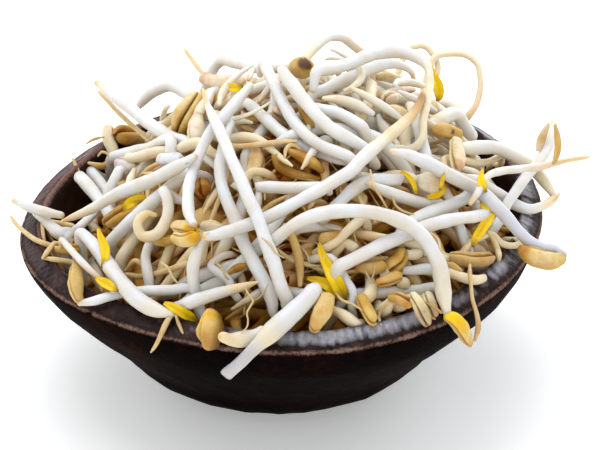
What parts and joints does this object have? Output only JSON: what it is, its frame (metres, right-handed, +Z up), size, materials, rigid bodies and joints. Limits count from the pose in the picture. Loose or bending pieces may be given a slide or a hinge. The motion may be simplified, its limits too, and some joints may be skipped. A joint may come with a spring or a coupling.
{
  "type": "bowl of bean sprouts",
  "caption": "Round dark wooden bowl heaped with fresh white mung bean sprouts, their seed leaves yellow and tan.",
  "frame": {"origin": "centre of the bowl's flat foot, on the surface it stands on", "axes": "+Z up, +X to the right of the bowl as it is usually seen, -Y to its front"},
  "size_m": [0.1335, 0.1227, 0.0785],
  "materials": {
    "bowl_wood": "dark stained and waxed, satin, faint tool facets",
    "stem_white": "fresh bluish-white stem, smooth and slightly shiny",
    "stem_cream": "cream stem, smooth",
    "root_tan": "pale tan root, dull",
    "bean_gold": "golden seed leaves, satin",
    "bean_tan": "tan seed leaves, satin",
    "heap_brown": "mixed stems in shade, amber brown"
  },
  "bodies": {
    "root": {"bowl": "bowl_wood", "inner_sprouts": "heap_brown", "sprout_back_left_high": "stem_white", "sprout_back_left_root": "root_tan", "sprout_left_upper_cross": "stem_white", "sprout_back_left_arch": "stem_white", "sprout_split_bean": "bean_tan", "sprout_top_bean_upper": "stem_cream", "sprout_top_bean_lower": "bean_gold", "sprout_top_left_flat": "stem_white", "sprout_long_diagonal": "stem_white", "sprout_left_head_pair": "stem_white", "sprout_second_diagonal": "stem_white", "sprout_top_slope_left": "stem_white", "sprout_top_slope_right": "stem_white", "sprout_top_slope_short": "stem_white", "sprout_inner_slope": "stem_white", "sprout_thin_cross_root": "root_tan", "sprout_rising_right": "stem_white", "sprout_top_bean_dark_eye": "bean_tan", "sprout_top_loop": "stem_white", "sprout_top_arch_outer": "stem_white", "sprout_top_arch_inner": "stem_white", "sprout_large_pale_bean": "stem_cream", "sprout_right_air_loop": "stem_cream", "sprout_right_rear_stub": "stem_white", "sprout_right_rear_upright": "stem_white", "sprout_golden_bean_right": "bean_gold", "sprout_upright_bean_right": "bean_tan", "sprout_right_long_overhang": "stem_white", "sprout_right_tipped": "stem_white", "sprout_right_rim_arch": "stem_white", "sprout_right_upright": "stem_white", "sprout_right_root_overhang": "stem_white", "sprout_right_inner_rise": "stem_white", "sprout_right_inner_sag": "stem_white", "sprout_round_pale_bean": "stem_cream", "sprout_centre_bent": "stem_white", "sprout_centre_level": "stem_white", "sprout_front_right_arch": "stem_white", "sprout_front_right_diagonal": "stem_white", "sprout_right_front_bean": "bean_tan", "sprout_right_front_pale": "stem_cream", "sprout_front_cut_over_rim": "stem_white", "sprout_front_under_cut": "stem_white", "sprout_front_left_tapered": "stem_white", "sprout_left_upright": "stem_white", "sprout_left_long_cross": "stem_white", "sprout_left_second_cross": "stem_white", "sprout_left_hook": "stem_cream", "sprout_left_cut_end": "stem_white", "sprout_left_split_leaf": "bean_gold", "sprout_left_overhang_upper": "stem_white", "sprout_left_overhang_lower": "stem_white", "sprout_left_root": "root_tan", "sprout_left_thin": "stem_white", "sprout_front_left_thick": "stem_white", "sprout_front_left_rim": "stem_white"}
  },
  "joints": []
}
